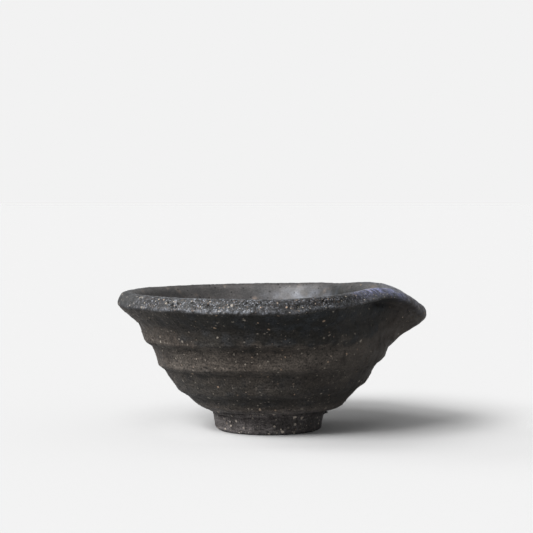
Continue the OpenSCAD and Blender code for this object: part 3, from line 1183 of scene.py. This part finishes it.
def fired_colour(n, where, zone, clay):
    """The clay's colour under smoky darkening and painted shade, the rim's coloured flash and the painted
    sheen inside, and worn paler clay and painted highlights.
    """
    soot_and_shade = n.blend(n.pattern(where, SMOKE_AND_SHADE_PATCHES), SMOKE_AND_SHADE_BLACK, SMOKE_AND_SHADE_BLUE)
    clay = n.blend(zone.smoke, clay, soot_and_shade)
    # The flash on the rim, and painted sheen inside
    clay = n.blend(zone.violet, clay, n.blend(zone.inside, VIOLET, PAINTED_SHEEN_BLUE))
    return n.blend(n.times(zone.wear, WEAR_AND_HIGHLIGHT_SHARE), clay, RIM_PALE)


def tone(n, where, zone):
    """How much the grain, the drawn streaks and the painted shade of the dim zone lighten or darken the clay.
    """
    streak = n.pattern(n.vector("MULTIPLY", where, DRAWN_STRETCH), DRAWN_TONES)
    shade = n.times(n.pattern(where, GRAIN_TONES), streak)
    shade = n.math("MULTIPLY_ADD", n.math("SUBTRACT", shade, 1.0), zone.grainy, 1.0)
    return n.times(shade, n.rest(zone.dim))


def speckled(n, where, zone, clay, large, large_tone, pits):
    """The clay with pits painted black as painted shade, small and large grog, and pale crumbs on the greyer
    clay of the foot, heel and tip.
    """
    small, small_tone = specks(n, where, SMALL_GROG)
    crumbs, crumb_tone = specks(n, where, CRUMBS)
    outer = n.rest(n.times(zone.inside, INSIDE_FEWER))
    fresh = n.times(n.math("MULTIPLY_ADD", zone.smoke, -DARKENING_HIDES, SMALL_SHARE), zone.grainy)
    dust = n.blend(n.spread(small_tone, *SMALL_ORANGES), GROG_PALE, GROG_ORANGE)
    grog = n.blend(n.spread(large_tone, *LARGE_ORANGES), GROG_PALE, GROG_ORANGE)
    crumb_share = n.spread(crumb_tone, *CRUMB_BOLD)
    bold = n.spread(large_tone, *LARGE_BOLD)
    # Pits painted black: painted shade
    clay = n.blend(n.times(pits, PIT_SHADE_SHARE), clay, PIT_SHADE_BLACK)
    clay = n.blend(n.times(small, outer, fresh), clay, dust)
    clay = n.blend(n.times(crumbs, zone.bare, crumb_share), clay, CRUMB)
    return n.blend(n.times(large, outer, bold), clay, grog)


def coat(n, zone):
    """A thin gloss: inside, fading where smoky darkening and painted shade lie, on the rim's flash, and
    faintly on the rim.
    """
    polish = n.times(zone.inside, n.spread(zone.smoke, *POLISH))
    flashed = n.times(zone.violet, n.rest(zone.inside), FLASH_COAT)
    return n.plus(n.plus(polish, flashed), n.times(zone.rim, RIM_COAT))


def fine_relief(n, where, zone, sand_distance, large, pits):
    grain = n.times(n.noise(where, *COARSE_GRAIN), COARSE_SHARE)
    height = n.plus(grain, n.times(n.noise(where, *FINE_GRAIN), FINE_SHARE))
    height = n.plus(height, n.times(sand_distance, zone.sandy, SAND_HEIGHT))
    height = n.plus(height, n.times(large, GROG_HEIGHT))
    return n.math("SUBTRACT", height, n.times(pits, PIT_DEPTH))


def stoneware():
    """Fired, unglazed, grogged clay. The zones of each mesh say where it is smoky, sandy and worn, where
    shade and highlights are painted on, and so on.
    """
    material, n, shader = new_material("stoneware")
    where = n.place()
    zone = SimpleNamespace(**{name: n.zone(name) for name in ZONES})
    grain, hue, _, distance = n.ragged_cells(where, *SAND_CELLS)
    large, large_tone = specks(n, where, LARGE_GROG)
    pits, _ = specks(n, where, PITS)
    clay = n.blend(zone.inside, wall_colour(n, where, zone), inside_colour(n, where))
    clay = n.blend(zone.rim, clay, rim_colour(n, where, zone, grain, hue))
    clay = fired_colour(n, where, zone, clay)
    clay = n.blend(1.0, clay, tone(n, where, zone), "MULTIPLY")
    clay = speckled(n, where, zone, clay, large, large_tone, pits)
    n.fill(shader, Base_Color=clay, Roughness=n.pattern(where, ROUGH_PATCHES), Specular_IOR_Level=SPECULAR)
    n.fill(shader, Coat_Weight=coat(n, zone), Coat_Roughness=COAT_ROUGHNESS)
    height = fine_relief(n, where, zone, distance, large, pits)
    bump = n.add("Bump", Height=height, Strength=BUMP_STRENGTH, Distance=BUMP_MM * MM)
    n.fill(shader, Normal=bump.outputs["Normal"])
    return material


# Assembly


def dress(piece, node, material):
    piece.data.materials.append(material)
    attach(piece, "root")
    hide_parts(node)


def build_foot(clay):
    grid, zones = foot_grid()
    piece = section_piece("foot_ring_clay", grid, zones, np.zeros_like(grid), (), True)
    dress(piece, "foot_ring", clay)


def build_floor_disc(skin, clay):
    under, under_zones = underside_grid()
    top, top_zones, top_normals, joints = skin.cut(EVERY_ROW, ("foot", "disc"), ("disc_in", "floor"))
    grid = np.concatenate([under, top], axis=1)
    zones = {zone: np.concatenate([under_zones[zone], top_zones[zone]], axis=1) for zone in ZONES}
    normals = np.concatenate([np.zeros_like(under), top_normals], axis=1)
    under_columns = under.shape[1]
    hidden_joints = (under_columns - 1, under_columns + joints[0])
    piece = disc_piece("floor_disc_clay", grid, zones, normals, hidden_joints)
    dress(piece, "floor_disc", clay)


def build_bowl():
    clay = stoneware()
    skin = Skin()
    build_foot(clay)
    build_floor_disc(skin, clay)
    for node, slot, rows, *stretches in RING_PIECES:
        part = skin.cut(rows, *stretches)
        piece = section_piece(node + "_clay", *part, len(rows) == TURNS)
        dress(piece, node, clay)


# How pale the backdrop and the lit floor are, and the floor's colour, painted paler near the foot as painted
# light that offsets the bowl's shade
PALE = 0.888
FLOOR_PALE = 0.897
FLOOR_ALBEDO = 0.228
FLOOR_PAINTED_LIGHT_ALBEDO = 0.284
FLOOR_PAINTED_LIGHT_MM = (14, 56)
FLOOR_HALF_M = 30.0
AMBIENT_SHARE = 0.19

# Share of the lamps' light, height above the floor, turn from the left towards the camera, and softness
LAMPS = (
    (0.59, 42, 45, 28),
    (0.20, 55, 6, 30),
    (0.09, 28, -22, 30),
    (0.12, 54, 80, 30),
)

# The camera, from the photograph's size and where the bowl's axis, the floor and the horizon lie in it
IMAGE_PX = 533
FOCAL_PX = 1600.0
MM_PER_PX = 0.42
AXIS_X_PX = 268.5
HORIZON_Y_PX = 199.4
FLOOR_Y_PX = 429.0
SENSOR_MM = 36.0
CLIP_END_M = 4 * FLOOR_HALF_M


# Stage, light and camera


def floor_material():
    """A pale floor, painted paler round the foot: painted light where the bowl keeps off some of the light.
    """
    material, n, shader = new_material("pale_floor")
    out = n.operate("VectorMath", "LENGTH", [n.place()])["Value"]
    low, high = FLOOR_PAINTED_LIGHT_MM
    pale = n.spread(out, low * MM, high * MM, FLOOR_PAINTED_LIGHT_ALBEDO, FLOOR_ALBEDO)
    n.fill(shader, Base_Color=pale, Roughness=1.0, Specular_IOR_Level=0.0)
    return material


def make_stage():
    mesh = bpy.data.meshes.new("studio_floor")
    s = FLOOR_HALF_M
    mesh.from_pydata([(-s, -s, 0), (s, -s, 0), (s, s, 0), (-s, s, 0)], [], [(0, 1, 2, 3)])
    floor = add_object("studio_floor", mesh)
    floor.data.materials.append(floor_material())


def make_light():
    """Soft lamps, the strongest from the left and in front, and a dim even surround."""
    floor_light = FLOOR_PALE / FLOOR_ALBEDO
    for share, height, turn, softness in LAMPS:
        sun = bpy.data.lights.new("key", "SUN")
        sun.energy = math.pi * floor_light * (1 - AMBIENT_SHARE) * share / math.sin(math.radians(height))
        sun.angle = math.radians(softness)
        lamp = add_object("key", sun)
        lamp.rotation_euler = (0, -math.radians(90 - height), math.radians(turn))
    ambient = floor_light * AMBIENT_SHARE
    world = bpy.data.worlds.new("studio")
    bpy.context.scene.world = world
    world.use_nodes = True
    n = Nodes(world.node_tree)
    seen = n.add("LightPath").outputs["Is Camera Ray"]
    glow = n.blend(seen, rgb(ambient, ambient, ambient), rgb(PALE, PALE, PALE))
    n.fill(world.node_tree.nodes["Background"], Color=glow)


def make_camera():
    data = bpy.data.cameras.new("camera")
    data.sensor_fit = "HORIZONTAL"
    data.sensor_width = SENSOR_MM
    data.lens = SENSOR_MM * FOCAL_PX / IMAGE_PX
    data.clip_end = CLIP_END_M
    camera = add_object("camera", data)
    centre = IMAGE_PX / 2
    pitch = math.atan((centre - HORIZON_Y_PX) / FOCAL_PX)
    side = (centre - AXIS_X_PX) * MM_PER_PX
    height = (FLOOR_Y_PX - HORIZON_Y_PX) * MM_PER_PX
    camera.location = (side * MM, -FOCAL_PX * MM_PER_PX * MM, height * MM)
    camera.rotation_euler = (math.pi / 2 - pitch, 0, 0)
    bpy.context.scene.camera = camera


def set_view():
    view = bpy.context.scene.view_settings
    view.view_transform = "Standard"
    view.look = "None"


make_camera()
build_bowl()
make_stage()
make_light()
set_view()
